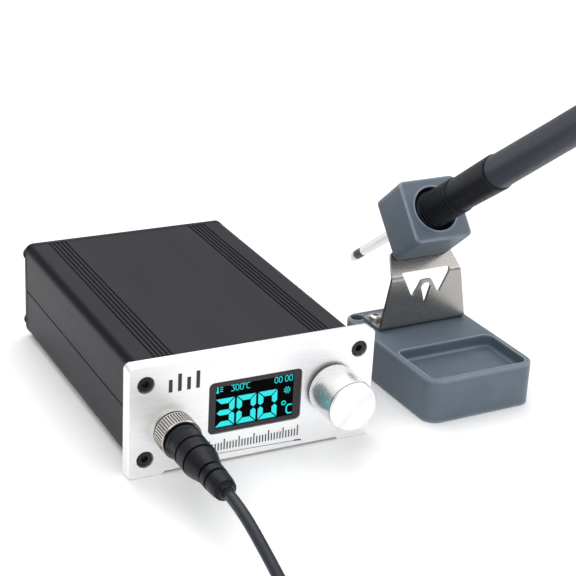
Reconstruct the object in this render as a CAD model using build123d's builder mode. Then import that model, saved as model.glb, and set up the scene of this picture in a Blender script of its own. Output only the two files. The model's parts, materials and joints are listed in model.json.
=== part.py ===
"""Soldering station: control unit, iron stand, iron and the cord that joins them.

Millimetres, +Z up, floor at Z = 0, front of the unit towards -Y.
The origin is on the floor under the middle of the unit, stand and iron together.
"""
import os
from math import cos, pi, radians, sin, tan

from build123d import *

os.makedirs("parts", exist_ok=True)

# ---------------------------------------------------------------- driving dimensions
# control unit
unit_x, unit_y = -36.19, 25.97        # middle of the unit on the floor
unit_depth = 125.6                    # front panel face to rear panel face
panel_w, panel_h, panel_t = 95.0, 43.0, 5.0
panel_corner = 2.2
foot_gap_w, foot_gap_h = 67.5, 1.0    # raised stretch of the front panel's bottom edge
rear_t, rear_foot_w, rear_foot_h, rear_foot_in = 2.0, 12.0, 4.0, 8.0   # rear panel, its two low feet
body_w, body_low, body_top, body_corner = 86.8, 1.2, 40.2, 3.6
seam_z = 20.7
wall = 2.2
boss_r = 3.1
groove_w, groove_depth, groove_pitch, groove_first, groove_count = 0.8, 0.6, 1.65, 27.2, 5
board_z, board_t, board_len = 11.8, 1.6, 96.0
slot_rib = 1.5
screw_x, screw_low, screw_high = 41.2, 7.1, 35.8
screw_r, screw_head_r, screw_head_h, screw_len = 1.5, 2.75, 3.0, 10.0
counterbore_r, counterbore_depth = 3.2, 3.6
slack = 0.05                          # radial gap of screws and other fitted pieces

# display
window_x, window_z, window_w, window_h, window_corner = 0.4, 22.0, 36.2, 20.2, 2.0
active_w, active_h, active_z = 30.4, 16.4, 21.7        # opening of the frame round the glass
frame_recess, frame_t, glass_t = 0.6, 0.6, 1.5

# knob and encoder
knob_x, knob_z, knob_r, knob_len, knob_gap = 30.3, 22.5, 9.4, 16.6, 0.9
shaft_r, shaft_end, bushing_r, bushing_end = 3.0, 13.5, 4.0, 2.6
encoder_w, encoder_h, encoder_t = 12.4, 13.2, 7.0
cavity_r, cavity_start, cavity_deep = 4.6, 1.2, 4.2    # room behind the bushing for the shaft's foot
shaft_foot_r, shaft_foot_t, push_gap = 4.2, 1.0, 1.2   # push_gap: foot to the bushing at rest

# socket and plug
plug_x, plug_z = -31.4, 17.4
thread_r, flange_r, flange_t = 6.0, 7.3, 1.2
shell_back, shell_front = 11.0, 7.0    # ends of the socket's shell behind and before the face
core_r, pin_face, pin_ring_r, pin_r = 5.0, 2.0, 2.9, 0.6
ring_r, ring_start, ring_end = 7.5, 1.5, 9.4
knurl_count, knurl_depth, knurl_w = 48, 0.3, 0.5
boot_end = 46.4
boot_groove_w, boot_groove_r = 1.0, 5.75               # width, radius of their floors
inlet_x, inlet_z, inlet_r = -24.0, 20.0, 5.6           # on the rear panel, seen from behind

# stand
stand_yaw = 1.5
stand_x, stand_y = unit_x + 71.75, unit_y - 66.06
base_w, base_d, base_h, base_corner = 48.3, 67.2, 17.7, 6.0
tray_rim, tray_back, tray_depth, tray_corner = 2.4, 29.2, 5.0, 3.6
store_x, store_y, store_r, store_depth = 4.6, 62.8, 2.8, 13.0
sheet_t, bend_r, foot_bend_r = 1.2, 2.0, 0.8
foot_screw_half, foot_screw_y, foot_screw_len = 16.5, 56.3, 8.0
bracket_x, bracket_y = 25.6, 46.5     # middle of the sheet, its front face
bracket_half, bracket_taper = 20.0, 0.175
bend_z = 39.9
flange_back = 61.5
holder_tilt = 41.2
holder_size, holder_depth, holder_corner = 25.8, 20.0, 2.2
holder_bore_r, holder_back_r, holder_back_wall = 9.2, 5.5, 5.0
holder_up = 7.3                       # along the leaning plate, from its bend to the block
plate_above = 22.5                    # from there to the plate's top edge
shoulder, tongue_half = 11.4, 10.2    # where the plate narrows to its tongue, half its width
holder_screw_x, holder_screw_up, holder_screw_len = 7.2, 12.6, 5.4
pan_r, pan_h, cross_len, cross_w = 2.7, 2.0, 2.6, 0.6  # pan-head cross screws

# iron, measured along its axis from the end of the tip
iron_tilt = 36.1
face_at = 72.3                        # where the axis passes the holder's front face
tip_r, tip_len = 2.1, 10.8
barrel_r, barrel_end = 2.3, 88.0
nose_at, grip_at, grip_end = 58.2, 61.5, 118.7
grip_r, tube_r, tube_bore = 7.1, 6.5, 4.6
tube_end, cap_end, relief_end = 176.0, 180.5, 189.0
handle_core_r, core_tail, contact_len = 5.2, 104.0, 30.0     # handle_core's radius and rear end
rib_start, rib_pitch, rib_count, rib_h = 71.6, 2.2, 9, 0.45
wide_r, wide_end = 8.4, 70.0          # the grip's wide end, inside the holder's bore

# cord
cord_r = 2.0
cord_floor = cord_r + 0.05
coil_x, coil_y = unit_x - 3.4, unit_y - 194.6
coil_out, coil_in, coil_exit = 27.0, 17.0, 27.33      # radii: first turn, inside, where the top leaves
turns_in, turns_up, turns_out = 2.5, 1 / 6, 31 / 12   # on the floor, climbing, on top

# ---------------------------------------------------------------- planes
front = Plane(origin=(unit_x, unit_y - unit_depth / 2, 0), x_dir=(1, 0, 0), z_dir=(0, -1, 0))
rear = Plane(origin=(unit_x, unit_y + unit_depth / 2, 0), x_dir=(-1, 0, 0), z_dir=(0, 1, 0))
inside = front.offset(-panel_t)       # back of the front panel, front of the case
body_len = unit_depth - panel_t - rear_t

yaw = radians(stand_yaw)
stand = Plane(origin=(stand_x, stand_y, 0), x_dir=(cos(yaw), sin(yaw), 0), z_dir=(0, 0, 1))


def stand_plane(x, y, z, tilt):
    """Plane at a point of the stand, its normal towards the front and up by tilt degrees."""
    here = stand.from_local_coords(Vector(x, y, z))
    out = stand.from_local_coords(Vector(x, y - cos(radians(tilt)), z + sin(radians(tilt)))) - here
    return Plane(origin=here, x_dir=stand.x_dir, z_dir=out)


tilt = radians(holder_tilt)
plate_run = holder_up + holder_size / 2           # along the leaning plate, from its bend to the bore
face_y = bracket_y + plate_run * sin(tilt) - holder_depth * cos(tilt)
face_z = bend_z + plate_run * cos(tilt) + holder_depth * sin(tilt)
holder_face = stand_plane(bracket_x, face_y, face_z, holder_tilt)
lean = radians(iron_tilt)
tip_y = face_y + face_at * cos(lean)
tip_z = face_z - face_at * sin(lean)
iron = stand_plane(bracket_x, tip_y, tip_z, iron_tilt)      # starts at the end of the tip
side = Plane(origin=stand.from_local_coords(Vector(bracket_x, 0, 0)),
             x_dir=stand.y_dir, z_dir=stand.x_dir)          # sheet's section: y, z of the stand


def finish_part(builder, name):
    """Label one finished piece and write its STEP file."""
    builder.part.label = name
    export_step(builder.part, f"parts/{name}.step")
    print(f"{name:16s} volume {builder.part.volume:10.1f}  solids {len(builder.part.solids())}")


def axis_section(plane):
    """Half-section plane of a turned piece: local x is along the plane's normal, y is radius."""
    return Plane(origin=plane.origin, x_dir=plane.z_dir, z_dir=plane.x_dir)


def axis_of(plane):
    """Turning axis of a piece whose axis is the plane's normal."""
    return Axis(plane.origin, plane.z_dir)


# ---------------------------------------------------------------- panels
screw_spots = [(x, z) for x in (-screw_x, screw_x) for z in (screw_low, screw_high)]

with BuildPart() as front_panel:          # raised between its two ends
    with BuildSketch(front):
        with Locations((0, panel_h / 2)):
            RectangleRounded(panel_w, panel_h, panel_corner)
        with Locations((0, foot_gap_h / 2)):
            Trapezoid(foot_gap_w + 2 * foot_gap_h, foot_gap_h, 45, mode=Mode.SUBTRACT)
    extrude(amount=-panel_t)
    chamfer(front_panel.faces().sort_by(Axis.Y)[0].edges(), 0.3)
    with Locations(front):
        with Locations(*screw_spots):
            CounterBoreHole(screw_r + slack, counterbore_r, counterbore_depth)
        with Locations((plug_x, plug_z)):
            Hole(thread_r + slack)
        with Locations((knob_x, knob_z)):
            Hole(bushing_r + slack)
    with BuildSketch(front):
        with Locations((window_x, window_z)):
            RectangleRounded(window_w, window_h, window_corner)
    extrude(amount=-panel_t, mode=Mode.SUBTRACT)
finish_part(front_panel, "front_panel")

with BuildPart() as rear_panel:           # outline of the case, with two feet down to the floor
    with BuildSketch(rear):
        with Locations((0, (body_low + body_top) / 2)):
            RectangleRounded(body_w + 0.2, body_top - body_low + 0.2, body_corner)
        for x in (-1, 1):
            with Locations((x * ((body_w - rear_foot_w) / 2 - rear_foot_in), rear_foot_h / 2)):
                RectangleRounded(rear_foot_w, rear_foot_h, 0.8)
    extrude(amount=-rear_t)
    with Locations(rear):
        with Locations(*screw_spots):
            Hole(screw_r + slack)
        with Locations((inlet_x, inlet_z)):
            Hole(inlet_r + slack)
finish_part(rear_panel, "rear_panel")


# ---------------------------------------------------------------- case halves
def case_half(top):
    """One half of the extruded case: a channel with corner bosses, slots or grooves."""
    open_side = seam_z - 50 if top else seam_z + 50   # middle of what the other half fills
    with BuildSketch(inside) as section:
        with Locations((0, (body_low + body_top) / 2)):
            RectangleRounded(body_w, body_top - body_low, body_corner)
            RectangleRounded(body_w - 2 * wall, body_top - body_low - 2 * wall,
                             body_corner - wall + 0.6, mode=Mode.SUBTRACT)
        for x in (-screw_x, screw_x):
            with Locations((x, screw_high if top else screw_low)):
                Circle(boss_r)
        if not top:
            for x in (-1, 1):
                for z in (board_z - 0.75 - 0.05, board_z + board_t + 0.75 + 0.05):
                    with Locations((x * (body_w / 2 - wall - slot_rib / 2 + 0.2), z)):
                        Rectangle(slot_rib + 0.4, 1.5)
        with Locations((0, (body_low + body_top) / 2)):   # nothing outside the outer surface
            RectangleRounded(body_w, body_top - body_low, body_corner, mode=Mode.INTERSECT)
        with Locations((0, open_side)):
            Rectangle(2 * body_w, 100, mode=Mode.SUBTRACT)
        for x in (-screw_x, screw_x):
            with Locations((x, screw_high if top else screw_low)):
                Circle(screw_r + slack, mode=Mode.SUBTRACT)
        if top:
            for mirror_x in (-1, 1):
                for i in range(groove_count):
                    with Locations((mirror_x * (groove_first + i * groove_pitch), body_top)):
                        Rectangle(groove_w, 2 * groove_depth, mode=Mode.SUBTRACT)
        for x in (-1, 1):                                 # small chamfer along the seam
            with Locations((x * body_w / 2, seam_z)):
                Rectangle(0.5, 0.5, rotation=45, mode=Mode.SUBTRACT)
    extrude(section.sketch, amount=-body_len)


with BuildPart() as case_top:
    case_half(True)
finish_part(case_top, "case_top")

with BuildPart() as case_bottom:
    case_half(False)
finish_part(case_bottom, "case_bottom")

# ---------------------------------------------------------------- screws of both panels
with BuildPart() as front_screws:
    head_face = front.offset(-(counterbore_depth - screw_head_h))
    with BuildSketch(head_face):
        with Locations(*screw_spots):
            Circle(screw_head_r)
    extrude(amount=-screw_head_h)
    chamfer(front_screws.faces().group_by(Axis.Y)[0].edges(), 0.3)
    with BuildSketch(head_face.offset(-screw_head_h)):
        with Locations(*screw_spots):
            Circle(screw_r)
    extrude(amount=-screw_len)
    with BuildSketch(head_face):
        with Locations(*screw_spots):
            RegularPolygon(1.25, 6, major_radius=False)
    extrude(amount=-1.6, mode=Mode.SUBTRACT)
finish_part(front_screws, "front_screws")

with BuildPart() as rear_screws:
    with BuildSketch(rear):
        with Locations(*screw_spots):
            Circle(screw_head_r)
    extrude(amount=1.7)
    fillet(rear_screws.faces().group_by(Axis.Y)[-1].edges(), 0.9)
    with BuildSketch(rear):
        with Locations(*screw_spots):
            Circle(screw_r)
    extrude(amount=-(screw_len - 1))
    with BuildSketch(rear.offset(1.7)):
        with Locations(*screw_spots):
            Rectangle(cross_len, cross_w)
            Rectangle(cross_w, cross_len)
    extrude(amount=-1.0, mode=Mode.SUBTRACT)
finish_part(rear_screws, "rear_screws")

# ---------------------------------------------------------------- display
with BuildPart() as display_frame:
    with BuildSketch(front.offset(-frame_recess)):
        with Locations((window_x, window_z)):
            RectangleRounded(window_w - 2 * slack, window_h - 2 * slack, window_corner - slack)
        with Locations((window_x, active_z)):
            Rectangle(active_w, active_h, mode=Mode.SUBTRACT)
    extrude(amount=-frame_t)
finish_part(display_frame, "display_frame")

glass_face = front.offset(-frame_recess - frame_t)
with BuildPart() as display_glass:
    with BuildSketch(glass_face):
        with Locations((window_x, window_z)):
            Rectangle(window_w - 1.4, window_h - 1.0)
    extrude(amount=-glass_t)
finish_part(display_glass, "display_glass")

board_face = glass_face.offset(-glass_t)
with BuildPart() as display_board:
    with BuildSketch(board_face):
        with Locations((window_x, window_z)):
            Rectangle(window_w - 1.4, window_h - 1.0)
    extrude(amount=-(panel_t - frame_recess - frame_t - glass_t))
    with BuildSketch(inside):
        with Locations((window_x, window_z)):
            Rectangle(window_w + 2.0, 25.0)
            with GridLocations(window_w - 2.0, 21.6, 2, 2):
                Circle(1.2, mode=Mode.SUBTRACT)
    extrude(amount=-1.6)
finish_part(display_board, "display_board")

# ---------------------------------------------------------------- main board and its parts
board_top = Plane(origin=(unit_x, unit_y, board_z + board_t), x_dir=(1, 0, 0), z_dir=(0, 0, 1))
board_w = body_w - 2 * wall - 2 * slack

with BuildPart() as main_board:
    with BuildSketch(board_top):
        Rectangle(board_w, board_len)
        with GridLocations(board_w - 12, board_len - 10, 2, 2):
            Circle(1.6, mode=Mode.SUBTRACT)
    extrude(amount=-board_t)
finish_part(main_board, "main_board")

with BuildPart() as capacitors:
    with BuildSketch(board_top):
        with Locations((22, 28), (8, 28), (22, 12)):
            Circle(5.0)
    extrude(amount=12.0)
    fillet(capacitors.faces().group_by(Axis.Z)[-1].edges(), 0.8)
finish_part(capacitors, "capacitors")

with BuildPart() as power_chips:
    with BuildSketch(board_top):
        with Locations((-24, 18), (-12, 18), (-24, 4)):
            Rectangle(6.6, 9.6)
    extrude(amount=2.3)
    chamfer(power_chips.faces().group_by(Axis.Z)[-1].edges(), 0.3)
finish_part(power_chips, "power_chips")

with BuildPart() as choke:
    with BuildSketch(board_top):
        with Locations((-8, 36)):
            RectangleRounded(12.5, 12.5, 2.0)
    extrude(amount=7.5)
    chamfer(choke.faces().group_by(Axis.Z)[-1].edges(), 0.6)
finish_part(choke, "choke")

with BuildPart() as buzzer:
    with BuildSketch(board_top):
        with Locations((-2, -30)):
            Circle(4.6)
    extrude(amount=5.0)
    with BuildSketch(board_top.offset(5.0)):
        with Locations((-2, -30)):
            Circle(0.9)
    extrude(amount=-1.5, mode=Mode.SUBTRACT)
finish_part(buzzer, "buzzer")

# ---------------------------------------------------------------- encoder and knob
knob_axis = Plane(origin=front.from_local_coords(Vector(knob_x, knob_z, 0)),
                  x_dir=front.x_dir, z_dir=front.z_dir)
shaft_back = -panel_t - cavity_start - push_gap - shaft_foot_t

with BuildPart() as encoder_body:
    with BuildSketch(knob_axis.offset(-panel_t)):
        Rectangle(encoder_w, encoder_h)
    extrude(amount=-encoder_t)
    with BuildSketch(knob_axis.offset(-panel_t)):
        Circle(bushing_r)
    extrude(amount=panel_t + bushing_end)
    with BuildSketch(knob_axis.offset(-panel_t - cavity_start)):
        Circle(cavity_r)
    extrude(amount=-cavity_deep, mode=Mode.SUBTRACT)
    with BuildSketch(knob_axis.offset(bushing_end)):
        Circle(shaft_r + slack)
    extrude(amount=-panel_t - bushing_end - cavity_start - 0.1, mode=Mode.SUBTRACT)
finish_part(encoder_body, "encoder_body")

with BuildPart() as encoder_nut:
    with BuildSketch(knob_axis.offset(0.02)):
        RegularPolygon(5.5, 6, major_radius=False)
        Circle(bushing_r + slack, mode=Mode.SUBTRACT)
    extrude(amount=2.0)
finish_part(encoder_nut, "encoder_nut")

with BuildPart() as encoder_shaft:
    with BuildSketch(knob_axis.offset(shaft_back)):
        Circle(shaft_r)
    extrude(amount=shaft_end - shaft_back)
    with BuildSketch(knob_axis.offset(shaft_back)):
        Circle(shaft_foot_r)
    extrude(amount=shaft_foot_t)
finish_part(encoder_shaft, "encoder_shaft")

with BuildPart() as encoder_plunger:
    with BuildSketch(knob_axis.offset(shaft_back - 0.02)):
        Circle(2.4)
    extrude(amount=-0.9)
finish_part(encoder_plunger, "encoder_plunger")

with BuildPart() as knob:
    with BuildSketch(knob_axis.offset(knob_gap)):
        Circle(knob_r)
    extrude(amount=knob_len)
    chamfer(knob.faces().sort_by(Axis.Y)[0].edges(), 0.5)
    fillet(knob.faces().sort_by(Axis.Y)[-1].edges(), 0.3)
    with BuildSketch(knob_axis.offset(knob_gap)):
        Circle(knob_r - 2.0)
    extrude(amount=4.0, mode=Mode.SUBTRACT)
    with BuildSketch(knob_axis.offset(knob_gap)):
        Circle(shaft_r)
    extrude(amount=shaft_end - knob_gap, mode=Mode.SUBTRACT)
finish_part(knob, "knob")

# ---------------------------------------------------------------- socket and plug
plug_axis = Plane(origin=front.from_local_coords(Vector(plug_x, plug_z, 0)),
                  x_dir=front.x_dir, z_dir=front.z_dir)

with BuildPart() as socket_shell:
    with BuildSketch(plug_axis.offset(-shell_back)):
        Circle(thread_r)
    extrude(amount=shell_back + shell_front)
    with BuildSketch(plug_axis):
        Circle(flange_r)
    extrude(amount=flange_t)
    with BuildSketch(plug_axis.offset(shell_front)):
        Circle(core_r + slack)
    extrude(amount=-shell_back - shell_front, mode=Mode.SUBTRACT)
finish_part(socket_shell, "socket_shell")

with BuildPart() as socket_pins:
    with BuildSketch(plug_axis.offset(pin_face)):
        Circle(core_r)
    extrude(amount=2.0 - shell_back)
    with BuildSketch(plug_axis.offset(pin_face + 2.0 - shell_back)):
        with PolarLocations(pin_ring_r, 5):
            Circle(pin_r)
    extrude(amount=-7.0)
finish_part(socket_pins, "socket_pins")

with BuildPart() as socket_nut:
    with BuildSketch(plug_axis.offset(-panel_t)):
        RegularPolygon(7.0, 6, major_radius=False)
        Circle(thread_r + slack, mode=Mode.SUBTRACT)
    extrude(amount=-2.4)
finish_part(socket_nut, "socket_nut")

with BuildPart() as plug_core:
    with BuildSketch(plug_axis.offset(pin_face)):
        Circle(core_r)
    extrude(amount=18.0)
finish_part(plug_core, "plug_core")

with BuildPart() as plug_ring:
    with BuildSketch(axis_section(plug_axis)):
        with BuildLine():
            Polyline((ring_start, thread_r + 0.3), (ring_start, ring_r - 0.5),
                     (ring_start + 0.5, ring_r - 0.15), (ring_start + 1.2, ring_r - 0.15),
                     (ring_start + 1.2, ring_r), (ring_end - 0.4, ring_r),
                     (ring_end, ring_r - 0.4), (ring_end, core_r + 0.3),
                     (ring_end - 1.6, core_r + 0.3), (ring_end - 1.6, thread_r + 0.3),
                     close=True)
        make_face()
    revolve(axis=axis_of(plug_axis))
    with BuildSketch(plug_axis.offset(ring_start + 1.3)):
        with PolarLocations(ring_r, knurl_count):
            Rectangle(2 * knurl_depth, knurl_w)
    extrude(amount=ring_end - ring_start - 1.8, mode=Mode.SUBTRACT)
finish_part(plug_ring, "plug_ring")

boot_start = ring_end + 0.3
with BuildPart() as plug_boot:
    with BuildSketch(axis_section(plug_axis)):
        with BuildLine():
            Polyline((boot_start, core_r), (boot_start, 6.3), (boot_start + 0.5, 6.6),
                     (boot_start + 2.2, 6.6), (boot_start + 2.6, 6.4), (25.0, 6.4), (33.0, 4.5),
                     (33.2, 3.7), (34.2, 3.7), (34.5, 4.7), (37.4, 4.6), (37.7, 3.7),
                     (38.5, 3.7), (38.8, 4.5), (42.5, 4.3), (44.6, 3.9))
            RadiusArc((44.6, 3.9), (boot_end, 2.2), -2.4)
            Polyline((boot_end, 2.2), (boot_end, 0), (20.0, 0), (20.0, core_r),
                     (boot_start, core_r))
        make_face()
    revolve(axis=axis_of(plug_axis))
    for along in (17.8, 24.4):            # grooves all the way round
        with BuildSketch(plug_axis.offset(along)):
            Circle(ring_r)
            Circle(boot_groove_r, mode=Mode.SUBTRACT)
        extrude(amount=boot_groove_w, mode=Mode.SUBTRACT)
    for along in (20.0, 22.2):            # grooves round the left and right sides only
        for half_turn in (0, 180):
            with BuildSketch(plug_axis.rotated((0, 0, half_turn)).offset(along)):
                Circle(ring_r)
                Circle(boot_groove_r, mode=Mode.SUBTRACT)
                with BuildLine():
                    Polyline((0, 0), (12, 10), (12, -10), close=True)
                make_face(mode=Mode.INTERSECT)
            extrude(amount=boot_groove_w, mode=Mode.SUBTRACT)
finish_part(plug_boot, "plug_boot")

# ---------------------------------------------------------------- power inlet
inlet = Plane(origin=rear.from_local_coords(Vector(inlet_x, inlet_z, 0)),
              x_dir=rear.x_dir, z_dir=rear.z_dir)
with BuildPart() as power_inlet:
    with BuildSketch(inlet):
        Circle(6.6)
    extrude(amount=1.4)
    chamfer(power_inlet.faces().group_by(Axis.Y)[-1].edges(), 0.4)
    with BuildSketch(inlet):
        Circle(inlet_r)
    extrude(amount=-13.0)
    with BuildSketch(inlet.offset(1.4)):
        Circle(2.85)
        Circle(1.25, mode=Mode.SUBTRACT)
    extrude(amount=-10.0, mode=Mode.SUBTRACT)
finish_part(power_inlet, "power_inlet")

with BuildPart() as inlet_nut:
    with BuildSketch(inlet.offset(-rear_t)):
        RegularPolygon(7.2, 6, major_radius=False)
        Circle(inlet_r + slack, mode=Mode.SUBTRACT)
    extrude(amount=-2.2)
finish_part(inlet_nut, "inlet_nut")

# ---------------------------------------------------------------- stand base
base_top = stand.offset(base_h)
foot_screws = [(bracket_x + s * foot_screw_half, foot_screw_y) for s in (-1, 1)]
holder_screw_spots = [(s * holder_screw_x, holder_screw_up) for s in (-1, 1)]

with BuildPart() as stand_base:
    with BuildSketch(stand):
        with Locations((base_w / 2, base_d / 2)):
            RectangleRounded(base_w, base_d, base_corner)
    extrude(amount=base_h)
    fillet(stand_base.faces().group_by(Axis.Z)[-1].edges(), 0.9)
    chamfer(stand_base.faces().group_by(Axis.Z)[0].edges(), 0.4)
    with BuildSketch(base_top):
        with Locations((base_w / 2, (tray_rim + tray_back) / 2)):
            RectangleRounded(base_w - 2 * tray_rim, tray_back - tray_rim, tray_corner)
    extrude(amount=-tray_depth, mode=Mode.SUBTRACT)
    fillet(stand_base.faces().filter_by(Plane.XY).sort_by(Axis.Z)[-2].edges(), 1.0)
    with BuildSketch(base_top):
        with Locations((store_x, store_y)):
            Circle(store_r)
    extrude(amount=-store_depth, mode=Mode.SUBTRACT)
    with BuildSketch(base_top):
        with Locations(*foot_screws):
            Circle(screw_r + slack)
    extrude(amount=-foot_screw_len - 0.5, mode=Mode.SUBTRACT)
finish_part(stand_base, "stand_base")

# ---------------------------------------------------------------- bracket
plate_len = holder_up + plate_above
plate = stand_plane(bracket_x, bracket_y, bend_z, holder_tilt)   # on the plate's front face
def sheet_edge(y, z):
    """The bracket's sharp edge across the sheet that is nearest to a point of its section."""
    across = iron_bracket.edges().filter_by(lambda e: abs(e.tangent_at(0.5).dot(stand.x_dir)) > 0.99)
    return across.sort_by_distance(stand.from_local_coords(Vector(bracket_x, y, z)))[0]


with BuildPart() as iron_bracket:
    drop = sheet_t * tan(tilt / 2)
    plate_top = (bracket_y + plate_len * sin(tilt), bend_z + plate_len * cos(tilt))
    with BuildSketch(side):
        with BuildLine():
            Polyline((flange_back, base_h), (bracket_y, base_h), (bracket_y, bend_z), plate_top,
                     (plate_top[0] + sheet_t * cos(tilt), plate_top[1] - sheet_t * sin(tilt)),
                     (bracket_y + sheet_t, bend_z - drop), (bracket_y + sheet_t, base_h + sheet_t),
                     (flange_back, base_h + sheet_t), close=True)
        make_face()
    extrude(amount=bracket_half, both=True)
    fillet(sheet_edge(bracket_y + sheet_t, base_h + sheet_t), foot_bend_r)
    fillet(sheet_edge(bracket_y, base_h), foot_bend_r + sheet_t)
    fillet(sheet_edge(bracket_y, bend_z), bend_r + sheet_t)
    fillet(sheet_edge(bracket_y + sheet_t, bend_z - drop), bend_r)
    # sides of the upright taper inwards, cut square to the upright
    upright = stand_plane(bracket_x, bracket_y, 0, 0)
    with BuildSketch(upright.offset(5)):
        for s in (-1, 1):
            with BuildLine():
                Polyline((s * bracket_half, base_h + sheet_t),
                         (s * (bracket_half + 9), base_h + sheet_t),
                         (s * (bracket_half + 9), bend_z + 2),
                         (s * (bracket_half - bracket_taper * (bend_z + 2 - base_h)), bend_z + 2),
                         close=True)
            make_face()
    extrude(amount=-12, mode=Mode.SUBTRACT)
    # sides and tongue of the leaning plate, cut square to it
    at_bend = bracket_half - bracket_taper * (bend_z - base_h)
    at_shoulder = at_bend - bracket_taper * shoulder
    with BuildSketch(plate.offset(4)):
        for s in (-1, 1):
            with BuildLine():
                Polyline((s * at_bend, 0.6), (s * (at_bend + 12), 0.6),
                         (s * (at_bend + 12), plate_len + 4), (s * tongue_half, plate_len + 4),
                         (s * tongue_half, shoulder), (s * (at_shoulder - 2.2), shoulder),
                         (s * (at_shoulder - 0.6), shoulder - 0.8),
                         (s * at_shoulder, shoulder - 2.6), close=True)
            make_face()
    extrude(amount=-8, mode=Mode.SUBTRACT)
    # window in the upright: a wide top edge, two points, a blunt middle peak, a drop below it
    with BuildSketch(upright.offset(5)):
        with BuildLine():
            Polyline((-11.6, 41.4), (11.6, 41.4), (6.2, 30.6), (2.2, 37.6), (-2.2, 37.6),
                     (-6.2, 30.6), close=True)
        make_face()
        fillet(vertices().group_by(Axis.Z)[-1], 0.7)
        with BuildLine():
            Line((0, 26.6), (2.3, 34.4))
            RadiusArc((2.3, 34.4), (-2.3, 34.4), -2.35)
            Line((-2.3, 34.4), (0, 26.6))
        make_face()
    extrude(amount=-12, mode=Mode.SUBTRACT)
    # way through for the iron's barrel, and the holes of the holder's screws
    with BuildSketch(plate.offset(4)):
        with Locations((0, plate_run)):
            Circle(holder_back_r + 0.6)
        with Locations(*holder_screw_spots):
            Circle(screw_r + slack)
    extrude(amount=-8, mode=Mode.SUBTRACT)
    with BuildSketch(base_top.offset(sheet_t)):
        with Locations(*foot_screws):
            Circle(screw_r + slack)
    extrude(amount=-sheet_t - 0.1, mode=Mode.SUBTRACT)
    fillet(iron_bracket.edges().filter_by(Axis.Z).filter_by(
        lambda e: e.length < sheet_t + 0.1).sort_by(Axis.Y)[-2:], 3.0)
finish_part(iron_bracket, "iron_bracket")


def pan_screws(plane, spots, length):
    """Pan-head cross screws: heads stand on the plane, shanks go below it."""
    with BuildSketch(plane) as heads:
        with Locations(*spots):
            Circle(pan_r)
    blanks = extrude(heads.sketch, amount=pan_h)
    tops = blanks.faces().filter_by(lambda f: f.normal_at().dot(plane.z_dir) > 0.99)
    fillet(tops.edges(), 1.1)
    with BuildSketch(plane) as shanks:
        with Locations(*spots):
            Circle(screw_r)
    extrude(shanks.sketch, amount=-length)
    with BuildSketch(plane.offset(pan_h)) as crosses:
        with Locations(*spots):
            Rectangle(cross_len, cross_w)
            Rectangle(cross_w, cross_len)
    extrude(crosses.sketch, amount=-1.1, mode=Mode.SUBTRACT)


with BuildPart() as bracket_screws:
    pan_screws(base_top.offset(sheet_t), foot_screws, foot_screw_len)
finish_part(bracket_screws, "bracket_screws")

plate_back = Plane(origin=plate.offset(-sheet_t).origin, x_dir=-plate.x_dir, z_dir=-plate.z_dir)
with BuildPart() as holder_screws:
    pan_screws(plate_back, holder_screw_spots, holder_screw_len)
finish_part(holder_screws, "holder_screws")

# ---------------------------------------------------------------- holder block
with BuildPart() as iron_holder:
    with BuildSketch(holder_face):
        RectangleRounded(holder_size, holder_size, holder_corner)
    extrude(amount=-holder_depth)
    fillet(iron_holder.faces().filter_by(
        lambda f: abs(f.normal_at().dot(holder_face.z_dir)) > 0.99).edges(), 0.8)
    with BuildSketch(holder_face):
        Circle(holder_bore_r)
    extrude(amount=-(holder_depth - holder_back_wall), mode=Mode.SUBTRACT)
    with BuildSketch(holder_face):
        Circle(holder_back_r)
    extrude(amount=-holder_depth, mode=Mode.SUBTRACT)
    with BuildSketch(holder_face.offset(-holder_depth)):
        with Locations(*[(x, up - plate_run) for x, up in holder_screw_spots]):
            Circle(screw_r + slack)
    extrude(amount=holder_screw_len - sheet_t + 0.2, mode=Mode.SUBTRACT)
finish_part(iron_holder, "iron_holder")

# ---------------------------------------------------------------- iron
turned = axis_section(iron)


def turn(points):
    """Turn a closed outline of (distance along the iron, radius) points about its axis."""
    with BuildSketch(turned) as outline:
        with BuildLine():
            Polyline(*points, close=True)
        make_face()
    revolve(outline.sketch, axis=axis_of(iron))


with BuildPart() as tip_point:
    turn([(0, 0), (0, tip_r - 0.1), (0.3, tip_r), (tip_len, tip_r), (tip_len, 0)])
    with BuildSketch(Plane(origin=iron.origin, x_dir=iron.z_dir, z_dir=iron.x_dir)):
        with BuildLine():
            Polyline((-1, 3), (-1, -3), (3.2, -3), (0.0, 3), close=True)
        make_face()
    extrude(amount=4, both=True, mode=Mode.SUBTRACT)
finish_part(tip_point, "tip_point")

with BuildPart() as tip_barrel:
    turn([(tip_len, 0), (tip_len, barrel_r - 0.1), (tip_len + 0.4, barrel_r),
          (barrel_end - 1, barrel_r), (barrel_end, barrel_r - 0.6), (barrel_end, 0)])
finish_part(tip_barrel, "tip_barrel")

core_bore = barrel_r + slack
with BuildPart() as nose_collar:
    turn([(nose_at, core_bore), (nose_at, 5.0), (nose_at + 0.8, 6.0), (grip_at, 6.4),
          (grip_at, core_bore)])
finish_part(nose_collar, "nose_collar")

with BuildPart() as handle_core:
    turn([(grip_at, core_bore), (grip_at, handle_core_r), (core_tail, handle_core_r), (core_tail, 3.2),
          (barrel_end + 0.2, 3.2), (barrel_end + 0.2, core_bore)])
finish_part(handle_core, "handle_core")


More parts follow.
